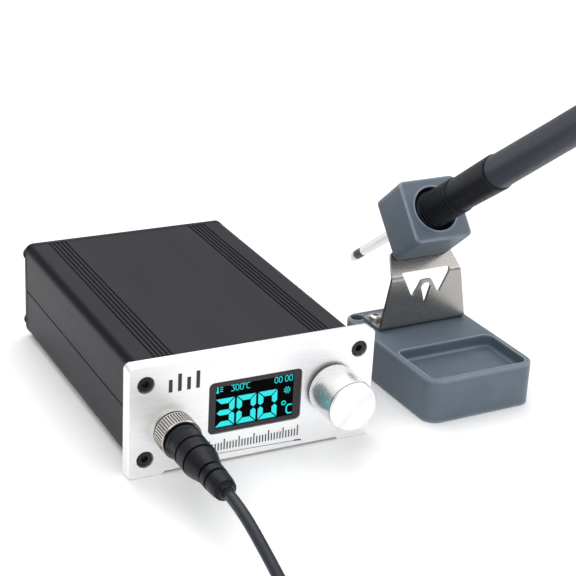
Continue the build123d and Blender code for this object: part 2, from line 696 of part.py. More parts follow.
def grip_outline():
    """Outside of the grip: a wide end, nine ribs, a smooth waist and the joint with the tube."""
    points = [(grip_at, handle_core_r), (grip_at, wide_r - 1.1), (grip_at + 1.2, wide_r - 0.6),
              (wide_end - 0.6, wide_r), (wide_end, wide_r - 0.1),
              (wide_end + 0.8, wide_r - 0.8), (rib_start, grip_r - rib_h)]
    for i in range(rib_count):
        at = rib_start + i * rib_pitch
        points += [(at + 0.2, grip_r), (at + 1.2, grip_r), (at + 1.4, grip_r - rib_h),
                   (at + rib_pitch, grip_r - rib_h)]
    points += [(grip_end - 6.0, grip_r - 0.15), (grip_end - 0.6, grip_r - 0.1),
               (grip_end, grip_r - 0.5), (grip_end, handle_core_r)]
    return points


with BuildPart() as grip:
    turn(grip_outline())
finish_part(grip, "grip")

with BuildPart() as handle_tube:
    turn([(grip_end, tube_bore), (grip_end, tube_r - 0.2), (grip_end + 0.4, tube_r),
          (156.0, 6.15), (tube_end, 6.1), (tube_end, tube_bore)])
finish_part(handle_tube, "handle_tube")

with BuildPart() as contact_block:
    turn([(core_tail, 0), (core_tail, tube_bore), (core_tail + contact_len, tube_bore),
          (core_tail + contact_len, 0)])
finish_part(contact_block, "contact_block")

with BuildPart() as tail_cap:
    turn([(tube_end - 8, 2.5), (tube_end - 8, tube_bore), (tube_end, tube_bore), (tube_end, 6.1),
          (cap_end - 1, 5.9), (cap_end, 5.0), (cap_end, 2.5)])
finish_part(tail_cap, "tail_cap")

with BuildPart() as strain_relief:
    turn([(tube_end - 8, 0), (tube_end - 8, 2.5), (cap_end, 2.5), (cap_end, 3.9),
          (cap_end + 2, 3.7), (cap_end + 2.4, 3.1), (cap_end + 3.2, 3.1), (cap_end + 3.6, 3.5),
          (cap_end + 5.6, 3.3), (cap_end + 6, 2.9), (relief_end, 2.6), (relief_end, 0)])
finish_part(strain_relief, "strain_relief")


# ---------------------------------------------------------------- cord
def cord_tube(name, route):
    """Round tube along straight runs joined by the largest tangent arcs the runs allow."""
    points = [Vector(*p) for p in route]
    runs = [b - a for a, b in zip(points, points[1:])]
    radii = []
    for a, b in zip(runs, runs[1:]):
        bend = radians(a.get_angle(b))
        radii.append(0.45 * min(a.length, b.length) / tan(bend / 2))
    with BuildPart() as tube:
        with BuildLine() as path:
            FilletPolyline(*points, radius=radii)
        with BuildSketch(Plane(origin=path.wires()[0] @ 0, z_dir=path.wires()[0] % 0)):
            Circle(cord_r)
        sweep()
    length = path.wires()[0].length
    print(name, "radii", [round(r) for r in radii], "length", round(length, 1),
          "volume ratio", round(tube.part.volume / (pi * cord_r ** 2 * length), 4))
    finish_part(tube, name)
    return length


start_y = unit_y - unit_depth / 2 - boot_end
plug_at = unit_x + plug_x
near_route = [
    (plug_at, start_y, plug_z),
    (plug_at, start_y - 10, plug_z),
    (plug_at + 0.5, start_y - 28, plug_z - 6.0),
    (plug_at + 0.9, start_y - 46, 4.3),
    (plug_at + 0.9, start_y - 62, cord_floor),
    (coil_x - coil_out, start_y - 76, cord_floor),
]
relief = iron.origin + iron.z_dir * relief_end
top = relief + iron.z_dir * 12
tail_route = [
    tuple(relief),
    tuple(top),
    (top.X + 0.6, top.Y - 16, top.Z + 7.8),
    (top.X + 1.6, top.Y - 34, top.Z + 8.8),
    (top.X + 2.6, top.Y - 50, top.Z + 1.3),
    (top.X + 3.4, top.Y - 61, top.Z - 15),
    (top.X + 4.0, top.Y - 65.5, top.Z - 36),
    (top.X + 4.6, top.Y - 65.0, top.Z - 61),
    (top.X + 4.6, top.Y - 66.5, top.Z - 86),
    (top.X + 3.0, top.Y - 69.0, top.Z - 109),
]
meet = Vector(top.X + 2.9, top.Y - 69.1, top.Z - 109.7)     # just under the tail's lower end
run_route = [
    (coil_x + 10.0, coil_y - 27.3, cord_floor + 3.6),
    (coil_x + 26.0, coil_y - 26.8, cord_floor + 1.6),
    (coil_x + 44.5, coil_y - 25.0, cord_floor + 0.1),
    (coil_x + 64.0, coil_y - 19.5, cord_floor),
    (meet.X - 23.0, meet.Y - 7.5, cord_floor + 0.8),
    (meet.X - 8.0, meet.Y - 4.0, cord_floor + 8.0),
    (meet.X - 0.8, meet.Y - 1.2, cord_floor + 22.0),
    tuple(meet),
]
near_len = cord_tube("iron_cord", near_route)
run_len = cord_tube("cord_run", run_route)
tail_len = cord_tube("cord_tail", tail_route)

coil_low, coil_high = coil_in - cord_r, coil_exit + cord_r - 0.13
with BuildPart() as cord_coil:            # ring round two layers of turns
    with BuildSketch(Plane(origin=(coil_x, coil_y, 0), x_dir=(1, 0, 0), z_dir=(0, -1, 0))):
        with Locations(((coil_low + coil_high) / 2, cord_floor + cord_r)):
            RectangleRounded(coil_high - coil_low, 4 * cord_r, 1.9)
    revolve(axis=Axis((coil_x, coil_y, 0), (0, 0, 1)))
finish_part(cord_coil, "cord_coil")
climb_len = ((2 * pi * coil_in * turns_up) ** 2 + (2 * cord_r) ** 2) ** 0.5
coil_len = pi * (coil_out + coil_in) * turns_in + climb_len + pi * (coil_in + coil_exit) * turns_out
print("cord length", round(near_len + run_len + tail_len + coil_len, 1), "coil", round(coil_len, 1))
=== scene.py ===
"""Looks of the soldering station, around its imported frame: metres, +Z up, unit's front towards -Y."""
import json
from math import cos, pi, radians, sin, sqrt

import bmesh
import bpy
from mathutils import Matrix, Vector


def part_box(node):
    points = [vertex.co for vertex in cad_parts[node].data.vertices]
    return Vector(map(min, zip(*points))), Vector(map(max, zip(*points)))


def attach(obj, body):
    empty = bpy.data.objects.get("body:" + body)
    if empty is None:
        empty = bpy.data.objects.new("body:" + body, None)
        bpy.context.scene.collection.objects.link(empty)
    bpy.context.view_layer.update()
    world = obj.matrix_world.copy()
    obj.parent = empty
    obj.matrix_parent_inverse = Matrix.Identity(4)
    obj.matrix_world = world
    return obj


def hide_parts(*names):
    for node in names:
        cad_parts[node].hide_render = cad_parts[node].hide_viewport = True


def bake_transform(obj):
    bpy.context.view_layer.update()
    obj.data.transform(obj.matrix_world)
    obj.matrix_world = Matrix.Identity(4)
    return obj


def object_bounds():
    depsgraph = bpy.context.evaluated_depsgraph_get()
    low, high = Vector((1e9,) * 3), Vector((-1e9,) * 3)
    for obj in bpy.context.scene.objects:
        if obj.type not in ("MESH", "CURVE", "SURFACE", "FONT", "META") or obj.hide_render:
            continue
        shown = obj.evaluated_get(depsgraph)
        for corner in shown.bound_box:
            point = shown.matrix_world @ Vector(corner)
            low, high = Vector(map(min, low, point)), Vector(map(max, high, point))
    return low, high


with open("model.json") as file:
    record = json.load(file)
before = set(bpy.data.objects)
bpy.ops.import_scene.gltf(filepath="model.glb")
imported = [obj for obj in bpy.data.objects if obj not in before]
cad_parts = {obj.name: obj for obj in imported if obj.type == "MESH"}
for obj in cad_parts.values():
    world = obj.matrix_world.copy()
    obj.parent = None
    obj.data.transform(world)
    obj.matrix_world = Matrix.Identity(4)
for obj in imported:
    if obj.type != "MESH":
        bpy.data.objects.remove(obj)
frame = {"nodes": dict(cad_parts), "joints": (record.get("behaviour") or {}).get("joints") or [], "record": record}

cad_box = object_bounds()
MM = 0.001

# ---------------------------------------------------------------- places, read from the frame
panel_low, panel_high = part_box("front_panel")
front_y = panel_low.y                                   # outer face of the front panel
unit_x = (panel_low.x + panel_high.x) / 2
unit_half_depth = 62.8 * MM                             # over both panels
unit_y = front_y + unit_half_depth
floor_z = cad_box[0].z
glass_face_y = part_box("display_glass")[0].y
joints = {j["name"]: j for j in frame["joints"]}
lift = Vector(joints["iron_lift"]["axis"]).normalized()     # along the iron, tip to tail
yaw = radians(1.5)                                      # the stand's turn about Z
grip_start = 61.5                                       # mm along the iron, from the end of its tip


def turned_axis(node, axis):
    """Middle of the low end of a piece turned about a line along axis."""
    side = axis.cross(Vector((1, 0, 0))).normalized()
    basis = (side, axis.cross(side))
    corners = [v.co for v in frame["nodes"][node].data.vertices]
    middle = Vector()
    for b in basis:
        reach = [c.dot(b) for c in corners]
        middle += b * (min(reach) + max(reach)) / 2
    return middle + axis * min(c.dot(axis) for c in corners)


grip_low = turned_axis("grip", lift)


def iron_at(along):
    """Point on the iron's axis, in mm from the end of the tip."""
    return grip_low + lift * (along - grip_start) * MM


# ---------------------------------------------------------------- camera
azimuth, elevation, roll = radians(-27.80147), radians(23.05825), radians(3.12666)
back = Vector((sin(azimuth) * cos(elevation), -cos(azimuth) * cos(elevation), sin(elevation)))
sideways = Vector((cos(azimuth), sin(azimuth), 0))
upright = back.cross(sideways)
right = cos(roll) * sideways + sin(roll) * upright
up = -sin(roll) * sideways + cos(roll) * upright

camera_data = bpy.data.cameras.new("camera")
camera_data.lens = 96.97
camera_data.sensor_width = 36.0
camera_data.clip_start, camera_data.clip_end = 0.02, 30.0
camera = bpy.data.objects.new("camera", camera_data)
turn = Matrix((right, up, back)).transposed().to_4x4()
aside, ahead, above = -0.21879, -0.49830, 0.27361       # from the floor under the middle of the unit
camera.matrix_world = Matrix.Translation((unit_x + aside, unit_y + ahead, above)) @ turn
bpy.context.collection.objects.link(camera)
bpy.context.scene.camera = camera


# ---------------------------------------------------------------- node materials
class Paint:
    """A procedural material: a Principled shader and short calls that feed its sockets."""

    def __init__(self, name, color, roughness, metallic=0.0, **numbers):
        self.material = bpy.data.materials.new(name)
        self.material.use_nodes = True
        self.nodes = self.material.node_tree.nodes
        self.links = self.material.node_tree.links
        self.shader = self.nodes["Principled BSDF"]
        self.put("Base Color", (*color, 1))
        self.put("Roughness", roughness)
        self.put("Metallic", metallic)
        for socket, value in numbers.items():
            self.put(socket.replace("_", " "), value)

    def put(self, socket, value):
        self.shader.inputs[socket].default_value = value

    def node(self, kind, **settings):
        made = self.nodes.new(kind)
        for key, value in settings.items():
            setattr(made, key, value)
        return made

    def link(self, source, target):
        self.links.new(source, target)

    def place(self, scale=(1, 1, 1), turn=(0, 0, 0)):
        """Frame coordinates in metres, turned, then scaled along each axis."""
        coordinates = self.node("ShaderNodeTexCoord")
        mapping = self.node("ShaderNodeMapping", vector_type="TEXTURE")
        mapping.inputs["Rotation"].default_value = turn
        mapping.inputs["Scale"].default_value = [1 / s for s in scale]
        self.link(coordinates.outputs["Object"], mapping.inputs["Vector"])
        return mapping.outputs["Vector"]

    def noise(self, vector, scale, detail=3.0, rough=0.55):
        """Noise, 0 to 1, with about `scale` bumps a metre."""
        made = self.node("ShaderNodeTexNoise")
        made.inputs["Scale"].default_value = scale
        made.inputs["Detail"].default_value = detail
        made.inputs["Roughness"].default_value = rough
        self.link(vector, made.inputs["Vector"])
        return made.outputs["Fac"]

    def spread(self, value, low, high, at_low=0.3, at_high=0.7):
        """Map a value from at_low..at_high to low..high."""
        made = self.node("ShaderNodeMapRange")
        for socket, number in zip(("From Min", "From Max", "To Min", "To Max"),
                                  (at_low, at_high, low, high)):
            made.inputs[socket].default_value = number
        self.link(value, made.inputs["Value"])
        return made.outputs["Result"]

    def tint(self, value, dark, light, at_low=0.3, at_high=0.7):
        """Base colour by a value: dark at at_low, light at at_high."""
        made = self.node("ShaderNodeValToRGB")
        ramp = made.color_ramp.elements
        ramp[0].position, ramp[1].position = at_low, at_high
        ramp[0].color, ramp[1].color = (*dark, 1), (*light, 1)
        self.link(value, made.inputs["Fac"])
        self.link(made.outputs["Color"], self.shader.inputs["Base Color"])
        return self

    def rough(self, value, low, high, at_low=0.3, at_high=0.7):
        """Roughness by a value, mapped in the same way."""
        self.link(self.spread(value, low, high, at_low, at_high), self.shader.inputs["Roughness"])
        return self

    def band(self, value, middle, half):
        """1 where a value is within half of middle, else 0."""
        made = self.node("ShaderNodeMath", operation="COMPARE")
        made.inputs[1].default_value, made.inputs[2].default_value = middle, half
        self.link(value, made.inputs[0])
        return made.outputs["Value"]

    def across_axis(self, point):
        """Frame coordinates across a line along Y through a point, as (x, z, 0)."""
        offset = self.node("ShaderNodeVectorMath", operation="SUBTRACT")
        offset.inputs[1].default_value = point
        self.link(self.place(), offset.inputs[0])
        parts = self.node("ShaderNodeSeparateXYZ")
        self.link(offset.outputs["Vector"], parts.inputs["Vector"])
        flat = self.node("ShaderNodeCombineXYZ")
        self.link(parts.outputs["X"], flat.inputs["X"])
        self.link(parts.outputs["Z"], flat.inputs["Y"])
        return flat.outputs["Vector"]

    def from_axis(self, point):
        """Distance from a line along Y through a point."""
        radius = self.node("ShaderNodeVectorMath", operation="LENGTH")
        self.link(self.across_axis(point), radius.inputs[0])
        return radius.outputs["Value"]

    def blend_to(self, color, amount):
        """Blend the base colour towards another by a 0 to 1 value."""
        blend = self.node("ShaderNodeMix", data_type="RGBA")
        self.link(amount, blend.inputs["Factor"])
        self.link(self.shader.inputs["Base Color"].links[0].from_socket, blend.inputs["A"])
        blend.inputs["B"].default_value = (*color, 1)
        self.link(blend.outputs["Result"], self.shader.inputs["Base Color"])

    def painted_edge_highlight(self, radius_mm, highlight):
        """Painted highlight: blend the base colour towards a lighter one along sharp and narrow edges."""
        rounded = self.node("ShaderNodeBevel", samples=4)
        rounded.inputs["Radius"].default_value = radius_mm * MM
        true = self.node("ShaderNodeNewGeometry")
        turn = self.node("ShaderNodeVectorMath", operation="DOT_PRODUCT")
        self.link(rounded.outputs["Normal"], turn.inputs[0])
        self.link(true.outputs["Normal"], turn.inputs[1])
        self.blend_to(highlight, self.spread(turn.outputs["Value"], 1.0, 0.0, 0.90, 0.995))

    def painted_edge_shade(self, dark):
        """Painted shade: blend the base colour towards a darker one where a face looks both sideways and up or
        down, standing in for the dark room that rounded edges reflect.
        """
        facing = self.node("ShaderNodeNewGeometry")
        parts = self.node("ShaderNodeSeparateXYZ")
        self.link(facing.outputs["Normal"], parts.inputs["Vector"])
        both = self.node("ShaderNodeMath", operation="MULTIPLY")
        self.link(parts.outputs["X"], both.inputs[0])
        self.link(parts.outputs["Z"], both.inputs[1])
        size = self.node("ShaderNodeMath", operation="ABSOLUTE")
        self.link(both.outputs["Value"], size.inputs[0])
        self.blend_to(dark, self.spread(size.outputs["Value"], 0.0, 1.0, 0.12, 0.42))

    def bump(self, value, height_mm, strength=1.0):
        made = self.node("ShaderNodeBump")
        made.inputs["Strength"].default_value = strength
        made.inputs["Distance"].default_value = height_mm * MM
        self.link(value, made.inputs["Height"])
        self.link(made.outputs["Normal"], self.shader.inputs["Normal"])
        return self


paints = {}


def shade(slot, paint):
    """Use a paint for every CAD node of one material slot."""
    paints[slot] = paint.material


# anodised extrusion: fine die lines along Y over a soft bead-blasted ground
for slot in ("case_black", "panel_black"):
    case = Paint(slot, (0.026, 0.025, 0.029), 0.38, 0.0, Specular_IOR_Level=0.08)
    lines = case.noise(case.place((900, 6, 900)), 1.0, 4.0, 0.6)
    ground = case.noise(case.place(), 5200.0, 2.0)
    case.rough(lines, 0.36, 0.41)
    case.tint(case.noise(case.place((60, 12, 60)), 1.0, 3.0), (0.024, 0.023, 0.028), (0.030, 0.029, 0.035))
    # painted shade on the rounded edges, darker as if they reflected a dark room
    case.painted_edge_shade((0.007, 0.007, 0.010))
    case.bump(ground, 0.006)
    shade(slot, case)

# clear anodised panel, brushed along X
panel = Paint("panel_aluminium", (0.97, 0.97, 0.98), 0.40, 0.75, Anisotropic=0.4)
grain = panel.noise(panel.place((45, 1700, 1700)), 1.0, 5.0, 0.7)
panel.tint(grain, (0.89, 0.895, 0.91), (0.985, 0.985, 0.99))
panel.rough(grain, 0.36, 0.46)
panel.bump(grain, 0.002, 0.4)
shade("panel_aluminium", panel)

screw = Paint("screw_black", (0.020, 0.020, 0.024), 0.34, 0.4)
screw.rough(screw.noise(screw.place(), 2500.0), 0.26, 0.42)
shade("screw_black", screw)

rim = Paint("frame_grey", (0.034, 0.030, 0.036), 0.55, Specular_IOR_Level=0.3)
rim.bump(rim.noise(rim.place(), 6000.0, 2.0), 0.004)
rim.rough(rim.noise(rim.place(), 900.0), 0.48, 0.6)
shade("frame_grey", rim)

glass = Paint("display_black", (0.0010, 0.0010, 0.0012), 0.16, Specular_IOR_Level=0.02)
glass.rough(glass.noise(glass.place(), 200.0), 0.12, 0.20)
shade("display_black", glass)

board = Paint("board_green", (0.015, 0.10, 0.045), 0.35, Coat_Weight=0.4)
board.tint(board.noise(board.place(), 700.0, 1.0), (0.010, 0.075, 0.032), (0.022, 0.125, 0.055), 0.48, 0.52)
shade("board_green", board)

sleeve = Paint("capacitor_sleeve", (0.02, 0.02, 0.045), 0.28)
sleeve.rough(sleeve.noise(sleeve.place(), 400.0), 0.22, 0.34)
shade("capacitor_sleeve", sleeve)

chip = Paint("chip_black", (0.02, 0.02, 0.021), 0.6)
chip.bump(chip.noise(chip.place(), 5000.0), 0.006)
shade("chip_black", chip)

zinc = Paint("encoder_metal", (0.55, 0.55, 0.54), 0.35, 1.0)
zinc.rough(zinc.noise(zinc.place(), 1200.0), 0.28, 0.45)
shade("encoder_metal", zinc)

nickel = Paint("nickel", (0.66, 0.64, 0.60), 0.20, 1.0)
nickel.rough(nickel.noise(nickel.place(), 1500.0), 0.16, 0.28)
nickel.tint(nickel.noise(nickel.place(), 500.0), (0.60, 0.58, 0.54), (0.70, 0.68, 0.64))
shade("nickel", nickel)

# coupling ring: darker in the bottoms of its knurl, 7.2 mm and less from its axis
coupling = Paint("ring_nickel", (0.62, 0.60, 0.56), 0.22, 1.0)
coupling.rough(coupling.noise(coupling.place(), 1500.0), 0.16, 0.28)
radius = coupling.from_axis(Vector(joints["ring_turn"]["pos_m"]))
coupling.tint(coupling.spread(radius, 0, 1, 7.22 * MM, 7.42 * MM),
              (0.14, 0.133, 0.125), (0.70, 0.68, 0.63), 0.0, 1.0)
shade("ring_nickel", coupling)

insert = Paint("insert_black", (0.02, 0.02, 0.02), 0.5)
insert.bump(insert.noise(insert.place(), 5000.0), 0.004)
shade("insert_black", insert)

for slot, colour, gloss in (("boot_black", (0.004, 0.005, 0.008), 0.18),
                            ("cord_black", (0.019, 0.021, 0.031), 0.28)):
    rubber = Paint(slot, colour, 0.36, Specular_IOR_Level=gloss)
    rubber.rough(rubber.noise(rubber.place(), 700.0), 0.30, 0.42)
    rubber.bump(rubber.noise(rubber.place(), 4200.0, 2.0), 0.006)
    shade(slot, rubber)

# fine texture paint, with painted highlights: a little lighter along its edges
grey = Paint("stand_grey", (0.106, 0.138, 0.172), 0.42, Specular_IOR_Level=0.5)
orange_peel = grey.noise(grey.place(), 2600.0, 3.0, 0.6)
grey.tint(grey.noise(grey.place(), 160.0), (0.083, 0.112, 0.146), (0.097, 0.129, 0.166))
grey.rough(orange_peel, 0.36, 0.48)
# painted highlight along the stand's edges
grey.painted_edge_highlight(1.6, (0.30, 0.36, 0.42))
grey.bump(orange_peel, 0.008)
shade("stand_grey", grey)

steel = Paint("bracket_steel", (0.60, 0.585, 0.565), 0.30, 1.0, Anisotropic=0.5)
brush = steel.noise(steel.place((30, 5200, 5200), (0, 0, -yaw)), 1.0, 4.0, 0.6)
steel.tint(brush, (0.365, 0.351, 0.333), (0.392, 0.378, 0.36))
steel.rough(brush, 0.24, 0.29)
steel.bump(brush, 0.0005, 0.2)
shade("bracket_steel", steel)

bright = Paint("screw_steel", (0.72, 0.70, 0.66), 0.22, 1.0)
bright.rough(bright.noise(bright.place(), 2200.0), 0.16, 0.30)
shade("screw_steel", bright)

# turned aluminium: tool marks about the knob's axis, painted reflection as light and dark sectors,
# a painted shadow of the gap behind it, a darker line just behind the chamfer
knob_at = Vector(joints["knob_turn"]["pos_m"])
turned = Paint("knob_aluminium", (0.90, 0.90, 0.91), 0.26, 0.85, Anisotropic=0.6)
ring_noise = turned.node("ShaderNodeTexNoise", noise_dimensions="1D")
ring_noise.inputs["Scale"].default_value = 2600.0
ring_noise.inputs["Detail"].default_value = 2.0
face = turned.node("ShaderNodeSeparateXYZ")
turned.link(turned.place(), face.inputs["Vector"])
tool_path = turned.node("ShaderNodeMath", operation="ADD")          # out over the face, then along the side
turned.link(turned.from_axis(knob_at), tool_path.inputs[0])
turned.link(face.outputs["Y"], tool_path.inputs[1])
turned.link(tool_path.outputs["Value"], ring_noise.inputs["W"])
turned.rough(ring_noise.outputs["Fac"], 0.24, 0.36)
turned.bump(ring_noise.outputs["Fac"], 0.002, 0.4)
# painted reflection: light and dark sectors about the axis, standing in for the turned face's sheen
painted_sheen_sectors = turned.node("ShaderNodeTexGradient", gradient_type="RADIAL")
turned.link(turned.across_axis(knob_at), painted_sheen_sectors.inputs["Vector"])
turned.tint(painted_sheen_sectors.outputs["Fac"], (0.88, 0.88, 0.89), (0.88, 0.88, 0.89), 0.0, 1.0)
painted_sheen_ramp = turned.nodes[-1].color_ramp
for position, level in ((0.08, 0.97), (0.15, 0.82), (0.27, 0.96), (0.36, 0.88), (0.45, 0.97),
                        (0.58, 0.84), (0.70, 0.97), (0.80, 0.87), (0.92, 0.97)):
    painted_sheen_ramp.elements.new(position).color = (0.94 * level, 0.94 * level, 0.95 * level, 1)
knob_front, knob_rear = (corner.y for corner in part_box("knob"))
# painted shadow: a dark band at the knob's rear edge, standing in for the shadowed gap to the panel
gap_shadow_at, blur = knob_rear - 0.70 * MM, 0.10 * MM
turned.blend_to((0.012, 0.012, 0.014), turned.spread(face.outputs["Y"], 0.0, 1.0, gap_shadow_at - blur, gap_shadow_at + blur))
turned.blend_to((0.14, 0.14, 0.15), turned.band(face.outputs["Y"], knob_front + 0.75 * MM, 0.25 * MM))
around = turned.node("ShaderNodeTangent", direction_type="RADIAL", axis="Y")
turned.link(around.outputs["Tangent"], turned.shader.inputs["Tangent"])
shade("knob_aluminium", turned)

core = Paint("core_black", (0.018, 0.018, 0.019), 0.5)
core.bump(core.noise(core.place(), 4000.0), 0.004)
shade("core_black", core)

grip = Paint("grip_black", (0.003, 0.004, 0.008), 0.44, Specular_IOR_Level=0.24)
grip.rough(grip.noise(grip.place(), 900.0), 0.42, 0.56)
grip.bump(grip.noise(grip.place(), 4200.0, 2.0), 0.008)
shade("grip_black", grip)

handle = Paint("handle_blue", (0.026, 0.031, 0.044), 0.42, Specular_IOR_Level=0.42)
handle.rough(handle.noise(handle.place(), 800.0), 0.40, 0.54)
handle.bump(handle.noise(handle.place(), 3800.0, 2.0), 0.006)
shade("handle_blue", handle)

# tip: dark oxidised plating, bright solder at the very end
tinned = Paint("tip_plated", (0.10, 0.10, 0.11), 0.32, 1.0)
offset = tinned.node("ShaderNodeVectorMath", operation="SUBTRACT")
offset.inputs[1].default_value = iron_at(0)
tinned.link(tinned.place(), offset.inputs[0])
along = tinned.node("ShaderNodeVectorMath", operation="DOT_PRODUCT")
along.inputs[1].default_value = lift
tinned.link(offset.outputs["Vector"], along.inputs[0])
wander = tinned.node("ShaderNodeMath", operation="MULTIPLY_ADD")
wander.inputs[1].default_value = 1.6 * MM
tinned.link(tinned.noise(tinned.place(), 900.0), wander.inputs[0])
tinned.link(along.outputs["Value"], wander.inputs[2])
tinned.tint(tinned.spread(wander.outputs["Value"], 0, 1, 4.5 * MM, 5.8 * MM),
            (0.62, 0.62, 0.63), (0.045, 0.045, 0.05), 0.0, 1.0)
shade("tip_plated", tinned)

barrel = Paint("barrel_steel", (0.66, 0.66, 0.67), 0.18, 1.0)
barrel.rough(barrel.noise(barrel.place(), 1800.0), 0.14, 0.24)
shade("barrel_steel", barrel)

slot_of = {s["node"]: s["material_slot"] for s in frame["record"]["subparts"]}
for name, obj in frame["nodes"].items():
    obj.data.materials.clear()
    obj.data.materials.append(paints[slot_of[name]])


# ---------------------------------------------------------------- cord
cord_r = 2.0 * MM
cord_floor = cord_r + 0.05 * MM
plug_at = Vector(joints["ring_turn"]["pos_m"])
coil_x, coil_y = unit_x - 3.4 * MM, unit_y - 194.6 * MM
coil_out, coil_in, coil_pitch = 27.0 * MM, 17.0 * MM, 4.0 * MM

start_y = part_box("plug_boot")[0].y
near_route = [Vector(p) for p in (
    (plug_at.x, start_y, plug_at.z),
    (plug_at.x, start_y - 10 * MM, plug_at.z),
    (plug_at.x + 0.5 * MM, start_y - 28 * MM, plug_at.z - 6.0 * MM),
    (plug_at.x + 0.9 * MM, start_y - 46 * MM, 4.3 * MM),
    (plug_at.x + 0.9 * MM, start_y - 62 * MM, cord_floor),
    (coil_x - coil_out, start_y - 76 * MM, cord_floor),
)]


def coil_points():
    """Centreline of the coil: in on the floor, up at the inside, out on top; 24 points a turn."""
    first, climb_at, climb_end, last = 180, 1080, 1140, 2070            # degrees about its axis
    points = []
    for angle in range(first, last + 1, 15):
        if angle <= climb_at:
            r = coil_out - coil_pitch * (angle - first) / 360
        else:
            r = coil_in + coil_pitch * max(0, angle - climb_end) / 360
        climb = min(1, max(0, (angle - climb_at) / (climb_end - climb_at)))
        z = cord_floor + 2 * cord_r * climb
        a = radians(angle)
        points.append(Vector((coil_x + r * cos(a), coil_y + r * sin(a), z)))
    return points


relief = iron_at(189.0)
top = iron_at(201.0)
tail_route = [relief, top] + [top + Vector(p) * MM for p in (
    (0.6, -16, 7.8),
    (1.6, -34, 8.8),
    (2.6, -50, 1.3),
    (3.4, -61, -15),
    (4.0, -65.5, -36),
    (4.6, -65.0, -61),
    (4.6, -66.5, -86),
)]
meet = top + Vector((2.9, -69.1, -109.7)) * MM
run_route = [Vector(p) for p in (
    (coil_x + 10 * MM, coil_y - coil_out - 0.3 * MM, cord_floor + 3.6 * MM),
    (coil_x + 26 * MM, coil_y - coil_out + 0.2 * MM, cord_floor + 1.6 * MM),
    (coil_x + 44.5 * MM, coil_y - coil_out + 2.0 * MM, cord_floor + 0.1 * MM),
    (coil_x + 64 * MM, coil_y - coil_out + 7.5 * MM, cord_floor),
    (meet.x - 23 * MM, meet.y - 7.5 * MM, cord_floor + 0.8 * MM),
    (meet.x - 8 * MM, meet.y - 4 * MM, cord_floor + 8 * MM),
    (meet.x - 0.8 * MM, meet.y - 1.2 * MM, cord_floor + 22 * MM),
    tuple(meet),
)]
cord_points = near_route + coil_points() + run_route + tail_route[::-1]


def curve_line(points):
    """Points along the NURBS spline that has these control points."""
    data = bpy.data.curves.new("cord_line", "CURVE")
    data.dimensions = "3D"
    data.resolution_u = 6
    spline = data.splines.new("NURBS")
    spline.points.add(len(points) - 1)
    for made, point in zip(spline.points, points):
        made.co = (*point, 1)
    spline.order_u = 3
    spline.use_endpoint_u = True
    holder = bpy.data.objects.new("cord_line", data)
    bpy.context.collection.objects.link(holder)
    mesh = bpy.data.meshes.new_from_object(holder)
    line = [v.co.copy() for v in mesh.vertices]
    bpy.data.objects.remove(holder)
    bpy.data.curves.remove(data)
    bpy.data.meshes.remove(mesh)
    return line


def new_piece(name, bm, slot, body=None, smooth=True):
    """Object from a bmesh, with a slot's paint, riding on a body."""
    mesh = bpy.data.meshes.new(name)
    bm.to_mesh(mesh)
    bm.free()
    for face in mesh.polygons:
        face.use_smooth = smooth
    obj = bpy.data.objects.new(name, mesh)
    bpy.context.collection.objects.link(obj)
    mesh.materials.append(paints[slot])
    if body:
        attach(obj, body)
    return obj


def tube(line, radius, sides=20):
    """Closed tube round a line of points."""
    bm = bmesh.new()
    heading = (line[1] - line[0]).normalized()
    side = heading.cross(Vector((0, 0, 1)) if abs(heading.z) < 0.9 else Vector((1, 0, 0))).normalized()
    rings = []
    for i, point in enumerate(line):
        ahead, behind = line[min(i + 1, len(line) - 1)], line[max(i - 1, 0)]
        heading = (ahead - behind).normalized()
        side = (side - heading * side.dot(heading)).normalized()
        other = heading.cross(side)
        rings.append([bm.verts.new(point + (side * cos(a) + other * sin(a)) * radius)
                      for a in (2 * pi * k / sides for k in range(sides))])
    for low, high in zip(rings, rings[1:]):
        for k in range(sides):
            bm.faces.new((low[k], low[k - 1], high[k - 1], high[k]))
    bm.faces.new(rings[0])
    bm.faces.new(rings[-1][::-1])
    bmesh.ops.recalc_face_normals(bm, faces=bm.faces)
    return bm


line = curve_line(cord_points)
cord = new_piece("cord", tube(line, cord_r), "cord_black")
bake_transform(cord)
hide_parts("iron_cord", "cord_coil", "cord_run", "cord_tail")


# ---------------------------------------------------------------- flat marks on the display and panel
def add_prism(bm, outline, y, thick):
    """Thin prism of an (x, z) outline, in metres, facing the front, with its back at y."""
    front = [bm.verts.new((x, y - thick, z)) for x, z in outline]
    rear = [bm.verts.new((x, y, z)) for x, z in outline]
    bm.faces.new(front)
    bm.faces.new(rear[::-1])
    for k in range(len(outline)):
        bm.faces.new((front[k - 1], front[k], rear[k], rear[k - 1]))


def marks(name, outlines, y, slot, thick=0.02 * MM):
    """One piece from many flat outlines given in mm from the middle of the panel's bottom edge."""
    bm = bmesh.new()
    for outline in outlines:
        add_prism(bm, [(unit_x + x * MM, z * MM) for x, z in outline], y, thick)
    bmesh.ops.recalc_face_normals(bm, faces=bm.faces)
    return new_piece(name, bm, slot, "station", smooth=False)


def stroke(points, width, closed=False):
    """Outlines of a line of constant width through (x, z) points: one quad a run, square ends."""
    ends = list(zip(points, points[1:])) + ([(points[-1], points[0])] if closed else [])
    quads = []
    for (x0, z0), (x1, z1) in ends:
        run = sqrt((x1 - x0) ** 2 + (z1 - z0) ** 2)
        ux, uz = (x1 - x0) / run * width / 2, (z1 - z0) / run * width / 2
        quads.append([(x0 - ux - uz, z0 - uz + ux), (x1 + ux - uz, z1 + uz + ux),
                      (x1 + ux + uz, z1 + uz - ux), (x0 - ux + uz, z0 - uz - ux)])
    return quads


def ring(x, z, radius, count=16):
    return [(x + radius * cos(2 * pi * k / count), z + radius * sin(2 * pi * k / count))
            for k in range(count)]


